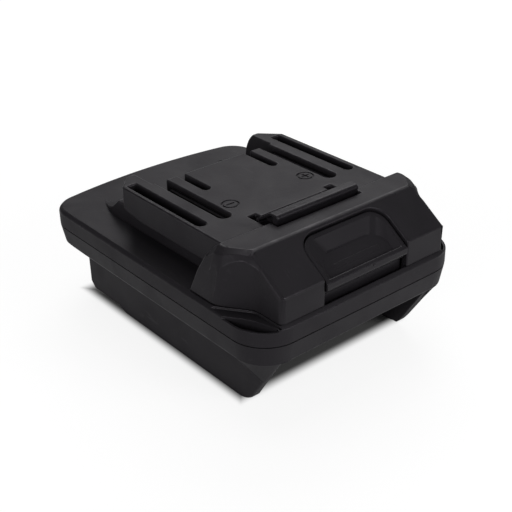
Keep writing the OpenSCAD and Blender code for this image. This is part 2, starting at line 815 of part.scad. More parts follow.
// Release latch: button, carrier and hook in one moulding that slides straight down.
module release_latch() color("#222224") {
    difference() {
        union() {
            on_slope()
                translate([0, 0, -4.6])
                    linear_extrude(4.6 - button_in)
                        intersection() {
                            button_shape(button_w, button_top, 5.2);
                            translate([-button_w, -1.6])
                                square([2 * button_w, slope_len + 1]);
                        }
            across(-button_w / 2 + 0.05, button_w / 2 - 0.05)
                button_lower();
            across(-hook_w / 2, hook_w / 2)
                hook_side();
            both()
                translate([seat_x, seat_y, seat_z - 2])
                    cylinder(h = 3, r = spring_r - spring_wire - 0.4);
        }
        on_slope()
            hull() {
                translate([0, 0, -button_in - dish_d])
                    linear_extrude(tiny)
                        dish_shape(button_w - 6.4, 7.6, 5.4);
                translate([0, 0, -button_in])
                    linear_extrude(1)
                        dish_shape(button_w - 2.6, button_top - 1.3, 4.2);
            }
        slot_box(-button_w, button_w, y_front - 4, lip_y, z_deck, z_crest);
        both()
            across(hook_w / 2 - 3, hook_w / 2 + 1)
                hook_pocket();
    }
}

// Thumb dish outline in the button's plane, closed above the lip.
module dish_shape(w, top, r) {
    intersection() {
        button_shape(w, top, r, $fn = 32);
        translate([-w, 0.2])
            square([2 * w, top]);
    }
}

// Side view of the button's lower part: lip, set-back face, web behind the rim, spring seat.
module button_lower() {
    polygon([[y_block + 3.4, z_slope + 0.6], [lip_y - 0.25, z_slope - 1.6], [lip_y - 0.25, z_slope - 3.1],
        [y_block + 0.1, z_slope - 3.6], [face_y, z_slope - 3.65], [face_y + 0.2, z_deck + 2.7],
        [web_y, z_deck + 2.4], [web_y, web_z], [web_y + web_t, web_z], [web_y + web_t, seat_z],
        [seat_y + 4, seat_z], [y_crest + 2, carrier_z], [y_crest + 2, z_roof - gap],
        [y_crest + 0.4, z_roof - gap]]);
}

// Side view of the hollow in each end of the hook.
module hook_pocket() {
    polygon([[y_hook + hook_lean + 0.9, z_top - 0.7], [y_ramp - 1.5, z_top - 0.7], [y_ramp - 1.5, z_top],
        [y_hook + 3.1, z_hook - 0.9], [y_hook + hook_lean + 0.9, z_hook - 0.9]]);
}

// Side view of the carrier and the hook: ramp at the back, undercut at the front.
module hook_side() {
    polygon([[y_crest + 0.4, carrier_z], [y_ramp, carrier_z], [y_ramp, z_top], [y_hook + 3.2, z_hook],
        [y_hook + 0.9, z_hook], [y_hook + 0.25, z_hook - 0.3], [y_hook, z_hook - 1],
        [y_hook + hook_lean, z_top], [y_hook + hook_lean, z_roof - gap], [y_crest + 0.4, z_roof - gap]]);
}

// One return spring: a round wire wound by formula on its seats, both ends closed flat.
module spring_at(side) {
    n = 8;
    m = 6;
    steps = spring_turns * n;
    z0 = post_z + spring_wire + 0.02;
    z1 = seat_z - spring_wire - 0.02;
    function ease(t) = t < 0.5 / spring_turns ? 0 : t > 1 - 0.5 / spring_turns ? 1
        : (t - 0.5 / spring_turns) / (1 - 1 / spring_turns);
    function mid(i) = let (t = i / steps, a = 360 * spring_turns * t)
        [spring_r * cos(a), spring_r * sin(a), z0 + (z1 - z0) * (ease(t) * 0.8 + t * 0.2)];
    function ring(i) = let (c = mid(i), a = 360 * spring_turns * i / steps)
        [for (j = [0 : m - 1]) let (b = 360 * j / m)
            c + spring_wire * [cos(b) * cos(a), cos(b) * sin(a), sin(b)]];
    points = [for (i = [0 : steps]) each ring(i)];
    sides = [for (i = [0 : steps - 1], j = [0 : m - 1]) each
        [[i * m + j, (i + 1) * m + j, (i + 1) * m + (j + 1) % m],
            [i * m + j, (i + 1) * m + (j + 1) % m, i * m + (j + 1) % m]]];
    ends = [[for (j = [0 : m - 1]) j], [for (j = [0 : m - 1]) steps * m + m - 1 - j]];
    pairs = [for (i = [0 : steps], j = [i + n / 2 : steps]) norm(mid(i) - mid(j))];
    echo(least_gap_between_curls = min(pairs) - 2 * spring_wire);
    translate([side * seat_x, seat_y, 0])
        polyhedron(points, concat(sides, ends), 4);
}

module spring_left() color("#9a9ca0")
    spring_at(-1);

module spring_right() color("#9a9ca0")
    spring_at(1);

// Contact holder: insulating tray under the platform with a slot for each tool clip.
module clip_holder() color("#3a3a3e") {
    difference() {
        union() {
            slot_box(-cave_x + 0.3, cave_x - 0.3, holder_front, cave_back - 0.3, holder_z, holder_z + 2);
            both()
                slot_box(x_clip - 3.6, x_clip + 3.6, holder_front, cave_back - 0.3, holder_z, z_roof);
            slot_box(-guide_pitch / 2 - 2.4, guide_pitch / 2 + 2.4, y_guide + 1.5, cave_back - 0.3,
                holder_z, z_roof - 2.4);
        }
        both() {
            slot_box(x_clip - clip_w / 2 - clip_clear, x_clip + clip_w / 2 + clip_clear,
                clip_y[0] - 0.6, cave_back + 1, clip_z, z_roof + 1);
            slot_box(x_clip - clip_w / 2 - clamp_t - clip_clear, x_clip + clip_w / 2 + clamp_t + clip_clear,
                clamp_y - 0.4, clamp_y + clamp_l + 0.4, clip_z, clamp_top + 0.3);
            slot_box(x_clip - 1.4, x_clip + 1.4, holder_front - 1, clip_y[0], clip_z, clip_z + 2.2);
        }
    }
}

// Tool clip: two springy leaves on a floor, with a tail for its lead.
module clip_at(side) {
    translate([side * x_clip, 0, 0]) {
        slot_box(-clip_w / 2, clip_w / 2, clip_y[0], clip_y[1], clip_z, clip_z + clip_t);
        for (s = [-1, 1])
            translate([s * (clip_gap + clip_t) / 2, 0, 0])
                slot_box(-clip_t / 2, clip_t / 2, clip_y[0], clip_y[1], clip_z, clip_top);
        slot_box(-clip_w / 2, clip_w / 2, clip_y[0] - tail_l, clip_y[0] + tiny, clip_z, clip_z + clip_t);
    }
}

module clip_negative() color("#b98a4a")
    clip_at(-1);

module clip_positive() color("#b98a4a")
    clip_at(1);

// Clamp springs: a steel bow round each tool clip that keeps its leaves together.
module clamp_springs() color("#a8aaad") {
    for (s = [-1, 1])
        translate([s * x_clip, 0, 0])
            for (k = [-1, 1])
                translate([k * (clip_w + clamp_t) / 2, 0, 0])
                    slot_box(-clamp_t / 2, clamp_t / 2, clamp_y, clamp_y + clamp_l, clip_z, clamp_top);
}

// Lead from a tool clip's tail: down, back along the floor, across to a battery blade's tail.
module lead_path(r) {
    turn_y = lead_end_y - bend_r;
    translate([x_clip, lead_y, lead_z + bend_r])
        cylinder(h = clip_z - lead_z - bend_r, r = r);
    translate([x_clip, lead_y + bend_r, lead_z + bend_r])
        rotate([0, 90, 0])
            rotate([0, 0, -90])
                bend(r);
    translate([x_clip, lead_y + bend_r, lead_z])
        rotate([-90, 0, 0])
            cylinder(h = turn_y - lead_y - bend_r, r = r);
    translate([x_clip - bend_r, turn_y, lead_z])
        bend(r);
    translate([lead_end_x, lead_end_y, lead_z])
        rotate([0, 90, 0])
            cylinder(h = x_clip - bend_r - lead_end_x, r = r);
}

// Quarter bend of a round lead from +X to +Y about the origin.
module bend(r) {
    rotate_extrude(angle = 90)
        translate([bend_r, 0])
            circle(r = r);
}

module lead_negative() color("#1b1b1d")
    mirror([1, 0, 0])
        lead_path(lead_r);

module lead_positive() color("#8a1f1c")
    lead_path(lead_r);

// Sleeves: shrunk tubes over both ends of each lead.
module lead_sleeves() color("#141416")
    both() {
        translate([x_clip, lead_y, clip_z - 5])
            tube(4.5);
        translate([lead_end_x + 0.6, lead_end_y, lead_z])
            rotate([0, 90, 0])
                tube(3.8);
    }

// Round tube standing on the origin, sized to go over a lead.
module tube(h) {
    difference() {
        cylinder(h = h, r = lead_r + sleeve_fit + sleeve_t);
        translate([0, 0, -1])
            cylinder(h = h + 2, r = lead_r + sleeve_fit);
    }
}

// Blade holder: insulating block under the roof at the back, with a slot for each blade and two ears.
module blade_holder() color("#3a3a3e") {
    ear_x = holder_screws[0][0] + boss_r;
    difference() {
        union() {
            slot_box(-blade_pitch / 2 - block_rim, blade_pitch / 2 + block_rim, block_face, block_back,
                blade_z - block_below, z_band);
            slot_box(-ear_x, ear_x, block_face + 0.6, block_back - 0.6, z_band - ear_t, z_band);
        }
        both() {
            blade_slot(blade_pitch / 2, blade_t, blade_z);
            blade_slot(sense_x, blade_t, blade_z + (blade_h - sense_h) / 2);
            for (p = holder_screws)
                translate([p[0], p[1], z_band - ear_t - 1])
                    cylinder(h = ear_t + 2, r = screw_r + screw_fit);
        }
    }
}

// Slot for a blade of thickness t, open to the front and to the top.
module blade_slot(x, t, z) {
    slot_box(x - t / 2 - slot_fit, x + t / 2 + slot_fit, block_face - 1, tail_y[1] + slot_fit,
        z, z_band + 1);
}

// Battery blade: upright plate with a bevelled tip, a tail through the floor and a tab for its lead.
module blade_at() {
    across(blade_pitch / 2 - blade_t / 2, blade_pitch / 2 + blade_t / 2)
        polygon([[block_face - blade_l, blade_z + 1.2], [block_face - blade_l + 1.2, blade_z],
            [tail_y[1], blade_z], [tail_y[1], tail_top], [lead_end_y - lead_r - 0.4, tail_top],
            [lead_end_y - lead_r - 0.4, z_floor + 0.4], [tail_y[0], z_floor + 0.4],
            [tail_y[0], blade_z + blade_h], [block_face - blade_l + 1.2, blade_z + blade_h],
            [block_face - blade_l, blade_z + blade_h - 1.2]]);
}

module blade_negative() color("#c9a45a")
    mirror([1, 0, 0])
        blade_at();

module blade_positive() color("#c9a45a")
    blade_at();

// Sense blades: two low plates between the power blades, left unwired.
module sense_blades() color("#c9a45a") {
    z = blade_z + (blade_h - sense_h) / 2;
    both()
        across(sense_x - blade_t / 2, sense_x + blade_t / 2)
            polygon([[block_face - sense_l, z + 0.8], [block_face - sense_l + 0.8, z], [tail_y[1], z],
                [tail_y[1], z + sense_h], [block_face - sense_l + 0.8, z + sense_h],
                [block_face - sense_l, z + sense_h - 0.8]]);
}

// Pan-head screw entering upwards: head below the origin, cross recess, shank of length l.
module screw(l) {
    difference() {
        union() {
            translate([0, 0, -screw_head_h])
                cylinder(h = screw_head_h, r = screw_head_r);
            cylinder(h = l - screw_r, r = screw_r);
            translate([0, 0, l - screw_r])
                cylinder(h = screw_r, r1 = screw_r, r2 = screw_r * 0.3);
        }
        for (a = [0, 90])
            rotate([0, 0, a])
                translate([0, 0, -screw_head_h])
                    cube([screw_head_r * 1.1, 0.6, 1.6], center = true);
    }
}

// Housing screws: four, from below through the band into the deck frame.
module housing_screws() color("#8f9296")
    both()
        for (p = house_screws)
            translate([p[0], p[1], z_band + screw_head_h])
                screw(z_deck - skin - z_band - screw_head_h + 0.6);

// Block screws: four, from inside through the deck into the rail block.
module block_screws() color("#8f9296")
    both()
        for (p = block_screws)
            translate([p[0], p[1], boss_z])
                screw(z_deck + 4.6 - boss_z);

// Holder screws: two, through the blade holder's ears into the floor's bosses.
module holder_screws() color("#8f9296")
    both()
        for (p = holder_screws)
            translate([p[0], p[1], z_band - ear_t])
                screw(ear_t + skin + 3);

deck_frame();
rail_block();
lower_shell();
release_latch();
spring_left();
spring_right();
clip_holder();
clip_negative();
clip_positive();
clamp_springs();
lead_negative();
lead_positive();
lead_sleeves();
blade_holder();
blade_negative();
blade_positive();
sense_blades();
housing_screws();
block_screws();
holder_screws();
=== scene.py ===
import math

import bpy
import numpy as np
from mathutils import Matrix, Vector


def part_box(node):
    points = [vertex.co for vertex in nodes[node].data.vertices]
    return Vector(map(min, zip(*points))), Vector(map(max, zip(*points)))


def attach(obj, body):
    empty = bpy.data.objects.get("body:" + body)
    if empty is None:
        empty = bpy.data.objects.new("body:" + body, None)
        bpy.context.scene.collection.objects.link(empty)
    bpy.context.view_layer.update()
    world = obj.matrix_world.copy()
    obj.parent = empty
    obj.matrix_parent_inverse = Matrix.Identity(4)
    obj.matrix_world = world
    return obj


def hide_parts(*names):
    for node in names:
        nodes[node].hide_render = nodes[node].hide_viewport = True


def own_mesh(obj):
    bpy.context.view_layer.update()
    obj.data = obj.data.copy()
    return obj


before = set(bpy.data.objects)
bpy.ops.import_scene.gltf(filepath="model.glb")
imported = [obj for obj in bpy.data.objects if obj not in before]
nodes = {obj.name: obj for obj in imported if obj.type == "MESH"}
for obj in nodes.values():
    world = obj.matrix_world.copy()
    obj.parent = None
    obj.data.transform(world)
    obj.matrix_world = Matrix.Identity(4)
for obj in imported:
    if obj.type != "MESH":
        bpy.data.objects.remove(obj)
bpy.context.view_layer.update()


# Lower shell
# The bottom half of the housing: band, floor and two feet in one moulding of black glass-filled
# nylon. The mould was spark eroded, which leaves a fine even grain on every outside face.

MM = 0.001


class Wire:
    """A socket in a node tree. Sums, differences and products of wires add Math nodes."""

    def __init__(self, tree, socket=None):
        self.tree, self.socket = tree, socket

    def node(self, kind, settings, inputs, out=0):
        """Adds a node of any type, sets its settings, then gives its sockets values or wires."""
        made = self.tree.nodes.new(kind)
        for key, value in settings.items():
            setattr(made, key, value)
        for key, value in inputs.items():
            if isinstance(value, Wire):
                self.tree.links.new(value.socket, made.inputs[key])
            else:
                made.inputs[key].default_value = value
        return Wire(self.tree, made.outputs[out])

    def sibling(self, out):
        """Another output of the node that this wire comes from."""
        return Wire(self.tree, self.socket.node.outputs[out])

    def end(self, kind):
        """Leads this wire into the tree's closing node, at its first socket."""
        self.tree.links.new(self.socket, self.tree.nodes.new(kind).inputs[0])

    def math(self, operation, a, b, c=0.0):
        """Adds a Math node of any operation on values or wires."""
        return self.node("ShaderNodeMath", {"operation": operation}, {0: a, 1: b, 2: c})

    def __add__(self, other):
        return self.math("ADD", self, other)

    def __sub__(self, other):
        return self.math("SUBTRACT", self, other)

    def __rsub__(self, other):
        return self.math("SUBTRACT", other, self)

    def __mul__(self, other):
        return self.math("MULTIPLY", self, other)

    __radd__, __rmul__ = __add__, __mul__

    def __abs__(self):
        return self.math("ABSOLUTE", self, 0.0)

    def either(self, other):
        """The greater of two wires, so that a mask holds where one of them does."""
        return self.math("MAXIMUM", self, other)

    def above(self, level, width):
        """0 below the level and 1 above it, with a soft step of that width between."""
        return self.node(
            "ShaderNodeMapRange",
            {"interpolation_type": "SMOOTHSTEP"},
            {"Value": self, "From Min": level - width / 2, "From Max": level + width / 2},
        )

    def blend(self, low, high):
        """A colour between two colours, by this wire."""
        return self.node("ShaderNodeMix", {"data_type": "RGBA"}, {0: self, 6: low, 7: high}, out=2)

    def stretch(self, scale):
        """This place with each axis scaled, so that a pattern on it runs long where scale is small."""
        return self.node("ShaderNodeMapping", {}, {"Vector": self, "Scale": scale})

    def noise(self, size_mm, detail, distortion=0.0):
        """Cloudy noise over this place, in lumps of about that size."""
        inputs = {"Vector": self, "Scale": 1 / (size_mm * MM), "Detail": detail, "Distortion": distortion}
        return self.node("ShaderNodeTexNoise", {}, inputs)

    def bump(self, strength, depth_mm):
        """A normal that takes this wire as the height of the surface."""
        inputs = {"Strength": strength, "Distance": depth_mm * MM, "Height": self}
        return self.node("ShaderNodeBump", {}, inputs)


def open_material(name):
    """A new material with an empty tree, and a wire of the place on the piece."""
    material = bpy.data.materials.new(name)
    material.use_nodes = True
    material.node_tree.nodes.clear()
    return material, Wire(material.node_tree).node("ShaderNodeTexCoord", {}, {}, out="Object")


def close_material(tint, rough, normal, constants):
    """Ends a material in one Principled shader: what varies over the surface, then constant values."""
    surface = {"Base Color": tint, "Roughness": rough, "Normal": normal}
    tint.node("ShaderNodeBsdfPrincipled", {}, {**constants, **surface}).end("ShaderNodeOutputMaterial")


def shade(colour, by):
    """A colour made lighter or darker: each channel times by, with a full alpha."""
    return (*(channel * by for channel in colour), 1.0)


def moulded(name, colour, roughness, grain_mm, depth_mm, rub):
    """Moulded black plastic: spark grain at two sizes, slow unevenness left by the melt's flow,
    faint handling scuffs, and patches, paler and smoother, which spread with rub. On faces they are
    rubbed wear; on the edge copies rub is set high, so there they are also a painted highlight."""
    material, place = open_material(name)
    grain = place.noise(grain_mm, detail=2.0)
    pit_inputs = {"Vector": place, "Scale": 0.6 / (grain_mm * MM)}
    pits = place.node("ShaderNodeTexVoronoi", {"feature": "SMOOTH_F1"}, pit_inputs)
    flow = place.noise(size_mm=14, detail=3.0, distortion=0.6)
    scuff = place.stretch((1.0, 0.16, 0.5)).noise(size_mm=0.9, detail=4.0)
    patch = place.noise(size_mm=3.2, detail=3.0)
    scuffs = scuff.above(0.66, 0.08) * flow.above(0.55, 0.2)
    pale_patches = patch.above(1 - rub, 0.35)
    tint = flow.blend(shade(colour, 0.86), shade(colour, 1.14))
    tint = (scuffs * 0.22).blend(tint, shade(colour, 2.2))
    tint = (pale_patches * 0.75).blend(tint, shade(colour, 1.9))
    height = grain * 0.7 + pits * 0.5 + flow * 0.5
    rough = roughness + (flow - 0.5) * 0.3 + (grain - 0.5) * 0.1 - scuffs * 0.08 - pale_patches * 0.14
    gloss = {"Specular IOR Level": 0.25, "Specular Tint": (0.97, 0.92, 1.0, 1.0), "IOR": 1.5}
    close_material(tint, rough, height.bump(strength=0.55, depth_mm=depth_mm), gloss)
    return material


def add_group(name, fill):
    """A geometry group that takes a mesh and gives back what fill makes of it."""
    group = bpy.data.node_groups.new(name, "GeometryNodeTree")
    for way in ("INPUT", "OUTPUT"):
        group.interface.new_socket("Geometry", in_out=way, socket_type="NodeSocketGeometry")
    fill(Wire(group).node("NodeGroupInput", {}, {})).end("NodeGroupOutput")
    return group


def round_edges(piece, width_mm, steps=2, shares=()):
    """Rounds a piece's sharp edges by width, and its blunt ones by a third of it. Shares lists boxes
    in mm, alike on both sides of the middle, each with the share of the width that edges inside it
    get: under 1 where small steps leave little room, above 1 where the moulding is rounder."""
    blunt_turn, sharp_turn, crease_turn = np.radians([20, 42, 38]).tolist()
    blunt_share = 0.33

    def mark(mesh):
        turn = mesh.node("GeometryNodeInputMeshEdgeAngle", {}, {})
        place = mesh.node("GeometryNodeInputPosition", {}, {})
        x = mesh.node("ShaderNodeSeparateXYZ", {}, {"Vector": place}, out="X")
        axes = (abs(x), x.sibling("Y"), x.sibling("Z"))
        blunt = mesh.math("GREATER_THAN", turn, blunt_turn)
        sharp = mesh.math("GREATER_THAN", turn, sharp_turn)
        weight = blunt * blunt_share + sharp * (1 - blunt_share)
        for low, high, share in shares:
            inside = 1.0
            for axis, least, most in zip(axes, low, high):
                middle, reach = (least + most) / 2 * MM, (most - least) / 2 * MM
                inside = mesh.math("COMPARE", axis, middle, reach) * inside
            weight = weight * (1 - inside * (1 - share))
        return mesh.node(
            "GeometryNodeStoreNamedAttribute",
            {"data_type": "FLOAT", "domain": "EDGE"},
            {"Geometry": mesh, "Name": "bevel_weight_edge", "Value": weight},
        )

    def smooth(mesh):
        turn = mesh.node("GeometryNodeInputMeshEdgeAngle", {}, {})
        soft = mesh.math("LESS_THAN", turn, crease_turn)
        faces = mesh.node("GeometryNodeSetShadeSmooth", {"domain": "FACE"}, {"Geometry": mesh})
        return mesh.node(
            "GeometryNodeSetShadeSmooth", {"domain": "EDGE"}, {"Geometry": faces, "Shade Smooth": soft}
        )

    weld = piece.modifiers.new("weld", "WELD")
    weld.merge_threshold = 0.0005 * MM
    flat = piece.modifiers.new("flat faces", "DECIMATE")
    flat.decimate_type = "DISSOLVE"
    flat.angle_limit = math.radians(0.4)
    piece.modifiers.new("edge marks", "NODES").node_group = add_group(piece.name + " edge marks", mark)
    bevel = piece.modifiers.new("round edges", "BEVEL")
    bevel.limit_method = "WEIGHT"
    bevel.width = width_mm * MM
    bevel.segments = steps
    bevel.use_clamp_overlap = False
    bevel.material = min(1, len(piece.data.materials) - 1)
    piece.modifiers.new("smooth", "NODES").node_group = add_group(piece.name + " smooth", smooth)
    even = piece.modifiers.new("even normals", "WEIGHTED_NORMAL")
    even.keep_sharp = True


def dress(name, *materials):
    """Gives a piece of the frame its finish, and that of its edges if they have one of their own."""
    piece = nodes[name]
    piece.data.materials.clear()
    for material in materials:
        piece.data.materials.append(material)
    return piece


nylon = (0.0165, 0.0150, 0.0176)
nylon_face = moulded("black_nylon", nylon, roughness=0.54, grain_mm=0.34, depth_mm=0.028, rub=0.16)
# The edges' copy is paler and smoother: worn arrises, and partly a painted highlight.
nylon_edge_worn_and_highlit = moulded("black_nylon_edge", nylon, roughness=0.41, grain_mm=0.34, depth_mm=0.01, rub=0.42)
past_side, past_end = 40, 60
band_height = 6.05
part_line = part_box("deck_frame")[0].z / MM
band_foot = part_line - band_height
shell_seam = ((0, -past_end, part_line - 0.4), (past_side, past_end, part_line + 0.4), 0.2)
chin_root = ((20, -past_end, band_foot - 0.3), (past_side, -38, band_foot + 0.5), 0.0)
screw_wells = ((29.5, -24, band_foot - 0.3), (36.5, 34, band_foot + 0.3), 0.1)
foot_lips = ((27, -41, -0.2), (29.4, 42, 2.6), 0.0)
shell_shares = [shell_seam, chin_root, screw_wells, foot_lips]
round_edges(dress("lower_shell", nylon_face, nylon_edge_worn_and_highlit), 0.45, 2, shell_shares)


# Blade holder and battery blades
# An insulating block screwed to the shell's floor at the back carries four stamped blades, tinned
# brass, that enter the battery pack: two for power and two low ones between them.


def stamped(name, colour, roughness, grain):
    """Stamped sheet metal: fine rolling lines along the sheet and a few dull handling marks."""
    material, place = open_material(name)
    lines = place.stretch(grain).noise(size_mm=0.12, detail=3.0)
    cloud = place.noise(size_mm=2.5, detail=4.0)
    dull = cloud.above(0.58, 0.2)
    tint = dull.blend(shade(colour, 1.0), shade(colour, 0.72))
    height = lines * 0.8 + cloud * 0.4
    rough = roughness + (lines - 0.5) * 0.18 + dull * 0.14
    close_material(tint, rough, height.bump(strength=0.35, depth_mm=0.006), {"Metallic": 1.0})
    return material


insulator = moulded(
    "insulator", (0.014, 0.013, 0.015), roughness=0.6, grain_mm=0.5, depth_mm=0.008, rub=0.1
)
tinned_blade = stamped("tinned_blade", (0.62, 0.56, 0.44), roughness=0.3, grain=(1.0, 0.06, 1.0))
round_edges(dress("blade_holder", insulator), 0.25)
for name in ("blade_negative", "blade_positive", "sense_blades"):
    round_edges(dress(name, tinned_blade), 0.12)


# Screws
# Self-tapping pan-head screws of zinc-plated steel with a cross recess: two hold the blade
# holder, four join deck and block from inside, and four close the housing from below.


def plated(name, colour, roughness):
    """Plated steel: a bright coat, cloudy and finely speckled."""
    material, place = open_material(name)
    cloud = place.noise(size_mm=0.7, detail=4.0)
    speck = place.noise(size_mm=0.16, detail=2.0)
    tint = cloud.blend(shade(colour, 0.78), shade(colour, 1.1))
    height = cloud * 0.6 + speck * 0.5
    rough = roughness + (cloud - 0.5) * 0.25 + (speck - 0.5) * 0.12
    close_material(tint, rough, height.bump(strength=0.4, depth_mm=0.008), {"Metallic": 1.0})
    return material


zinc = plated("zinc_plate", (0.46, 0.47, 0.48), roughness=0.36)
for name in ("holder_screws", "block_screws", "housing_screws"):
    round_edges(dress(name, zinc), 0.16)


# Return springs
# Two cold-wound springs of drawn steel wire stand on posts in the shell and push the latch up.
# The end curls lie flat.


def grid_mesh(name, rows, material):
    """A closed skin from rows of ring points, rows by ring by 3: neighbours join into quads, and
    each end closes in a fan round its middle."""
    count, around = rows.shape[:2]
    i, j = np.meshgrid(np.arange(count - 1), np.arange(around), indexing="ij")
    k = (j + 1) % around
    quads = np.stack([i * around + j, i * around + k, (i + 1) * around + k, (i + 1) * around + j], -1)
    ring = np.arange(around)
    first, last = count * around, count * around + 1
    end = (count - 1) * around
    start_fan = np.stack([np.roll(ring, -1), ring, np.full(around, first)], -1)
    end_fan = np.stack([end + ring, end + np.roll(ring, -1), np.full(around, last)], -1)
    points = np.vstack([rows.reshape(-1, 3), rows[0].mean(0), rows[-1].mean(0)])
    faces = quads.reshape(-1, 4).tolist() + start_fan.tolist() + end_fan.tolist()
    mesh = bpy.data.meshes.new(name)
    mesh.from_pydata(points.tolist(), [], faces)
    mesh.polygons.foreach_set("use_smooth", np.ones(len(mesh.polygons), bool))
    mesh.materials.append(material)
    piece = bpy.data.objects.new(name, mesh)
    bpy.context.scene.collection.objects.link(piece)
    return piece


def coil(low, high, wire, turns):
    """Wire wound in a box: its middle goes round a circle while it climbs, slowly over the half
    curl at each end and evenly between; each ring is square to the wire's own direction."""
    steps_per_turn, around, slow = 48, 12, 0.2
    t = np.linspace(0, 1, steps_per_turn * turns + 1)[:, None]
    ring = np.linspace(0, 2 * np.pi, around, endpoint=False)[None, :]
    centre, radius = (low + high) / 2, (high.x - low.x) / 2 - wire
    turn = 2 * np.pi * turns * t
    half = 0.5 / turns
    climb = (1 - slow) * np.clip((t - half) / (1 - 2 * half), 0, 1) + slow * t
    height = low.z + wire + (high.z - low.z - 2 * wire) * climb
    pitch = np.gradient(height[:, 0], turn[:, 0])[:, None]
    lean = np.arctan2(pitch, radius)
    outward = np.cos(ring) * wire
    upward = np.sin(ring) * wire
    x = (radius + outward) * np.cos(turn) + upward * np.sin(lean) * np.sin(turn)
    y = (radius + outward) * np.sin(turn) - upward * np.sin(lean) * np.cos(turn)
    z = height + upward * np.cos(lean)
    return np.stack([x + centre.x, y + centre.y, z], -1)


spring_wire = stamped("spring_wire", (0.40, 0.41, 0.43), roughness=0.3, grain=(1.0, 1.0, 0.2))
wire_radius, turns = 0.35 * MM, 6
for side in ("left", "right"):
    low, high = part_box("spring_" + side)
    spring = grid_mesh("coil_spring_" + side, coil(low, high, wire_radius, turns), spring_wire)
    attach(spring, "adapter")
    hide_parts("spring_" + side)
    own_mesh(spring)


# Tool clips
# Folded clips of tinned brass sit in an insulating tray under the platform. A pair of spring
# steel strips presses each clip's leaves together on the tool's blade.

tinned_clip = stamped("tinned_clip", (0.60, 0.55, 0.44), roughness=0.34, grain=(1.0, 0.06, 1.0))
spring_strip = stamped("spring_strip", (0.42, 0.43, 0.45), roughness=0.32, grain=(1.0, 0.1, 1.0))
round_edges(dress("clip_holder", insulator), 0.22)
for name in ("clip_negative", "clip_positive"):
    round_edges(dress(name, tinned_clip), 0.1)
round_edges(dress("clamp_springs", spring_strip), 0.1)


# Leads
# Stranded leads in silicone insulation, black for minus and red for plus, run from the clips'
# tails along the floor to the blades. Shrunk sleeves cover the joints at their ends.


def rubbery(name, colour, roughness, ripple_mm):
    """Soft extruded insulation: a faint ripple from the strands inside, and pale chalky dust."""
    material, place = open_material(name)
    ripple = place.noise(ripple_mm, detail=3.0)
    dust = place.noise(size_mm=0.3, detail=5.0)
    tint = (dust.above(0.6, 0.2) * 0.3).blend(shade(colour, 1.0), shade(colour, 1.7))
    height = ripple + dust * 0.3
    rough = roughness + (dust - 0.5) * 0.2
    close_material(tint, rough, height.bump(strength=0.4, depth_mm=0.02), {})
    return material


black_silicone = rubbery("black_silicone", (0.024, 0.024, 0.026), roughness=0.55, ripple_mm=1.2)
red_silicone = rubbery("red_silicone", (0.34, 0.022, 0.016), roughness=0.5, ripple_mm=1.2)
shrink_tube = rubbery("shrink_tube", (0.014, 0.014, 0.015), roughness=0.42, ripple_mm=0.5)
round_edges(dress("lead_negative", black_silicone), 0.15)
round_edges(dress("lead_positive", red_silicone), 0.15)
round_edges(dress("lead_sleeves", shrink_tube), 0.12)


# Deck frame
# The upper half of the housing's band with the flat deck, the finger pockets at its front
# corners, and bosses for the screws. Same nylon and grain as the shell below it.

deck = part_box("deck_frame")[1].z / MM
pocket_lip = ((28, -past_end, deck - 4), (past_side, -28, deck + 1), 0.4)
pocket_end = ((29, -30, deck - 1), (35, -25, deck + 1), 0.25)
deck_rim = ((36.3, -28, deck - 4), (past_side, 41, deck + 1), 0.4)
front_rim = ((0, -past_end, deck - 0.8), (28, -50, deck + 0.5), 0.2)
deck_shares = [shell_seam, pocket_lip, pocket_end, deck_rim, front_rim]
round_edges(dress("deck_frame", nylon_face, nylon_edge_worn_and_highlit), 0.45, 2, deck_shares)


# Rail block
# Rails, contact platform and release block in one moulding, screwed to the deck from inside.
# Its arrises take the paler, smoother edge finish: rubbed where tools slide over them, and partly a
# painted highlight.

platform_wall = 2.2
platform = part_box("clip_holder")[1].z / MM + platform_wall
block_seam = ((0, -past_end, deck - 0.1), (past_side, past_end, deck + 0.5), 0.2)
signs = ((11, -15.2, platform - 1), (17, -9.3, platform + 0.1), 0.12)
channel_ends = ((17, 12, deck - 1), (23, 13.6, platform + 1), 0.3)
rail_feet = ((22, 24, deck - 0.1), (22.6, 36, deck + 6), 0.0)
ridge = ((0, -40.4, platform + 1.2), (28, -39.2, platform + 1.9), 4.4)
block_shares = [block_seam, signs, channel_ends, rail_feet, ridge]
round_edges(dress("rail_block", nylon_face, nylon_edge_worn_and_highlit), 0.55, 3, block_shares)


# Release latch
# Thumb button, carrier and hook in one moulding of the same black nylon, a little smoother
# from handling. It slides down in the block against the two springs.

latch_face = moulded("latch_nylon", nylon, roughness=0.5, grain_mm=0.34, depth_mm=0.016, rub=0.2)
# The edges' copy is paler and smoother: worn from handling, and partly a painted highlight.
latch_edge_worn_and_highlit = moulded("latch_nylon_edge", nylon, roughness=0.32, grain_mm=0.34, depth_mm=0.006, rub=0.45)
latch_low, latch_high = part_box("release_latch")
latch_side, latch_front, latch_foot = latch_high.x / MM, latch_low.y / MM, latch_low.z / MM
dish_floor = ((0.0, -49.8, 36.8), (11.7, -43.9, 41.2), 3.0)
latch_shares = [dish_floor]
for front, back, top in ((-53.0, -49.5, 36.9), (-49.5, -44.0, 38.5), (-44.0, -35.0, 42.8)):
    lip_end = ((latch_side - 0.2, front, latch_foot - 1), (latch_side + 0.2, back, top), 0.04)
    latch_shares.append(lip_end)
round_edges(dress("release_latch", latch_face, latch_edge_worn_and_highlit), 0.35, 3, latch_shares)


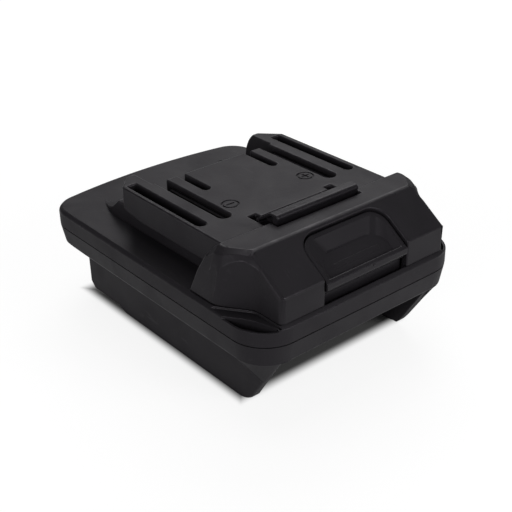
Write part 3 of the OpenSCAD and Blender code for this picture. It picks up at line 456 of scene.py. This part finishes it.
def mound(centre, across, along, half, height, power):
    """A low rounded island on a face, in mm: level rings of a squared-off oval, the lowest below
    the face, each higher ring drawn in a little more, up to a flat top."""
    around = 64
    inset = np.array([0.0, 0.0, 0.06, 0.16, 0.3])[:, None]
    level = np.array([-0.3, 0.0, 0.6, 0.92, 1.0])[:, None] * height
    turn = np.linspace(0, 2 * np.pi, around, endpoint=False)[None, :]
    u = (half[0] - inset) * np.sign(np.cos(turn)) * np.abs(np.cos(turn)) ** (2 / power)
    v = (half[1] - inset) * np.sign(np.sin(turn)) * np.abs(np.sin(turn)) ** (2 / power)
    out = np.cross(across, along)
    spread = u[..., None] * across + v[..., None] * along + level[..., None] * out
    return (centre + spread) * MM


sideways, upright = np.array([1.0, 0.0, 0.0]), np.array([0.0, 0.0, 1.0])
up_dish = np.array([0.0, 0.825, 0.565])
bar_middle, stub_middle = np.array([0.0, -47.9, 38.26]), np.array([2.0, latch_front, 36.75])
dish_bar = mound(bar_middle, sideways, up_dish, half=(8.2, 0.8), height=0.07, power=8)
gate_stub = mound(stub_middle, sideways, upright, half=(0.5, 0.42), height=0.2, power=2)
for name, rows in (("dish_bar", dish_bar), ("gate_stub", gate_stub)):
    piece = grid_mesh(name, rows, latch_face)
    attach(piece, "latch")


# Studio
# A pale floor that keeps the soft shadow and runs to white, with a painted shadow under the part
# between the feet and a painted reflection that is stronger in front; a broad lamp at the back right,
# small ones above, in front and at the left, and a dim room that is brighter towards the back right.


def grey(level):
    """A colour with all channels at one level, with a full alpha."""
    return (level, level, level, 1.0)


def studio_room(name, dim, bright):
    """Light by direction: dim towards the front left and bright towards the back right, with plain
    white for the camera and behind clear things."""
    world = bpy.data.worlds.new(name)
    world.use_nodes = True
    world.node_tree.nodes.clear()
    way = Wire(world.node_tree).node("ShaderNodeTexCoord", {}, {}, out="Generated")
    back_right = (0.82, 0.57, 0.0)
    facing = way.node(
        "ShaderNodeVectorMath", {"operation": "DOT_PRODUCT"}, {0: way, 1: back_right}, out="Value"
    )
    walls = facing.above(0.65, 0.6).blend(grey(dim), grey(bright))
    camera_ray = way.node("ShaderNodeLightPath", {}, {}, out="Is Camera Ray")
    seen = camera_ray.either(camera_ray.sibling("Is Transmission Ray"))
    light = way.node("ShaderNodeBackground", {}, {"Color": seen.blend(walls, grey(1.0))})
    light.end("ShaderNodeOutputWorld")
    return world


def pale_paper(name):
    """Grey that takes the part's shadow, with white of its own for the camera, for clear things and
    partly for gloss. The share seen in gloss is greater in front, a painted reflection on the part's
    front faces. Between the feet the white is left out, a painted shadow under the part; the white is
    a little lower near the part than far off, and from below it is clear."""
    material, place = open_material(name)
    x = place.node("ShaderNodeSeparateXYZ", {}, {"Vector": place}, out="X")
    backward = x.sibling("Y")
    forward = 0.0 - backward
    beside_feet = abs(x).above(31 * MM, 4 * MM)
    before_feet = forward.above(35.8 * MM, 5 * MM)
    behind_feet = backward.above(44 * MM, 6 * MM)
    # No white of its own between the feet: a painted shadow under the part.
    white_outside_painted_shadow = beside_feet.either(before_feet).either(behind_feet)
    camera_ray = place.node("ShaderNodeLightPath", {}, {}, out="Is Camera Ray")
    # The floor's white seen in gloss is stronger in front: a painted reflection on the part's front
    # faces.
    gloss_share_painted_brighter_in_front = camera_ray.sibling("Is Glossy Ray") * (forward.above(60 * MM, 40 * MM) * 0.36 + 0.42)
    seen = camera_ray.either(camera_ray.sibling("Is Transmission Ray")).either(gloss_share_painted_brighter_in_front)
    distance = place.node("ShaderNodeVectorMath", {"operation": "LENGTH"}, {0: place}, out="Value")
    white = seen * white_outside_painted_shadow * (distance.above(0.6, 0.7) * 0.12 + 0.86)
    lit = place.node("ShaderNodeBsdfDiffuse", {}, {"Color": grey(0.25)})
    glow = place.node("ShaderNodeEmission", {}, {"Color": white, "Strength": 1.0})
    both = place.node("ShaderNodeAddShader", {}, {0: lit, 1: glow})
    below = place.node("ShaderNodeNewGeometry", {}, {}, out="Backfacing")
    hidden = place.node("ShaderNodeBsdfTransparent", {}, {})
    sheet = place.node("ShaderNodeMixShader", {}, {0: below, 1: both, 2: hidden})
    sheet.end("ShaderNodeOutputMaterial")
    return material


bpy.context.scene.world = studio_room("studio", dim=0.11, bright=0.26)

floor_half, floor_level = 1.6, -0.02 * MM
corner = np.array([-floor_half, floor_half])
x, y = np.meshgrid(corner, corner)
floor_points = np.stack([x.ravel(), y.ravel(), np.full(4, floor_level)], -1)
floor_mesh = bpy.data.meshes.new("floor")
floor_mesh.from_pydata(floor_points.tolist(), [], [(0, 1, 3, 2)])
floor_mesh.materials.append(pale_paper("paper"))
floor = bpy.data.objects.new("floor", floor_mesh)
bpy.context.scene.collection.objects.link(floor)


def softbox(name, place, aim, size, watts):
    """A square area lamp of that size in metres, turned to face its aim."""
    lamp = bpy.data.lights.new(name, "AREA")
    lamp.shape, lamp.size, lamp.energy = "SQUARE", size, watts
    stand = bpy.data.objects.new(name, lamp)
    stand.location = place
    stand.rotation_euler = (Vector(aim) - Vector(place)).to_track_quat("-Z", "Y").to_euler()
    bpy.context.scene.collection.objects.link(stand)


part_middle = (0.0, 0.0, 0.02)
softbox("back_key", (0.47, 0.5, 0.68), part_middle, size=0.6, watts=2.5)
softbox("overhead", (0.0, 0.1, 0.8), part_middle, size=0.4, watts=0.9)
softbox("front_fill", (0.25, -0.8, 0.36), part_middle, size=0.4, watts=2.2)
softbox("left_fill", (-0.8, -0.25, 0.3), part_middle, size=0.4, watts=2.2)


# Camera
# The photograph's own view, from above the front left corner. It was solved from the part's
# mirror pairs and straight edges.

camera = bpy.data.cameras.new("camera")
camera.sensor_width, camera.lens = 36.0, 70.44
camera.shift_x, camera.shift_y = -0.0052, -0.0018
right = Vector((0.76626, -0.64223, -0.01953))
up = Vector((0.32299, 0.35873, 0.87578))
back = Vector((-0.55544, -0.67739, 0.48232))
eye = Vector((-0.16603, -0.20958, 0.16602))
turned = Matrix((right, up, back)).transposed().to_4x4()
stand = bpy.data.objects.new("camera", camera)
stand.matrix_world = Matrix.Translation(eye) @ turned
bpy.context.scene.collection.objects.link(stand)
bpy.context.scene.camera = stand
bpy.context.scene.view_settings.view_transform = "Standard"
